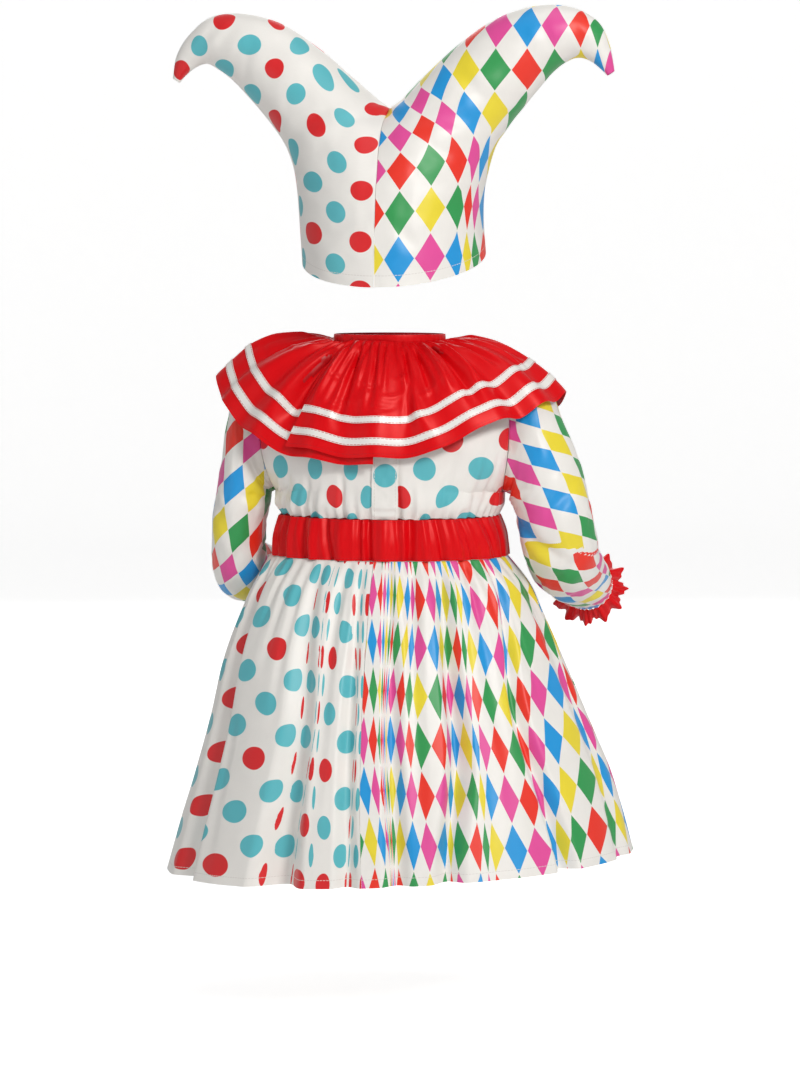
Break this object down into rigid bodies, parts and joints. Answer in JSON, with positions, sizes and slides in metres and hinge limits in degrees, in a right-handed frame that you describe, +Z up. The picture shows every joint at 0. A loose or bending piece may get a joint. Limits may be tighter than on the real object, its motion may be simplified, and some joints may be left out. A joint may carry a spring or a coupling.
{
  "type": "harlequin costume for a toddler: a dress with a gathered collar, and a two-horned hat, in the pose of wear",
  "caption": "Worn harlequin costume: two-horned satin hat, gathered red collar, long-sleeved dress with red waistband, flared skirt in dots and diamonds.",
  "frame": {"origin": "middle of the neck, where the wearer carries the dress", "axes": "+Z up, -Y towards the garment's front, +X towards the wearer's left"},
  "size_m": [0.399, 0.325, 0.7319],
  "materials": {
    "dotted_satin": "soft satin with printed teal and red dots",
    "diamond_satin": "soft satin with a printed harlequin diamond repeat",
    "red_satin": "glossy satin",
    "white_ribbon": "glossy satin"
  },
  "bodies": {
    "root": {"hat_left_back": "dotted_satin", "hat_left_front": "dotted_satin", "hat_right_back": "diamond_satin", "hat_right_front": "diamond_satin", "neckband": "red_satin", "collar_ruffle": "red_satin", "collar_ribbon_upper": "white_ribbon", "collar_ribbon_lower": "white_ribbon", "bodice_front": "dotted_satin", "bodice_back_left": "dotted_satin", "bodice_back_right": "dotted_satin", "back_placket": "dotted_satin", "sleeve_left": "diamond_satin", "sleeve_right": "diamond_satin", "cuff_ruffle_left": "red_satin", "cuff_ruffle_right": "red_satin", "waistband_back": "red_satin", "waistband_front": "red_satin", "skirt_back_left": "dotted_satin", "skirt_back_right": "diamond_satin", "skirt_front_left": "dotted_satin", "skirt_front_right": "diamond_satin"}
  },
  "joints": []
}
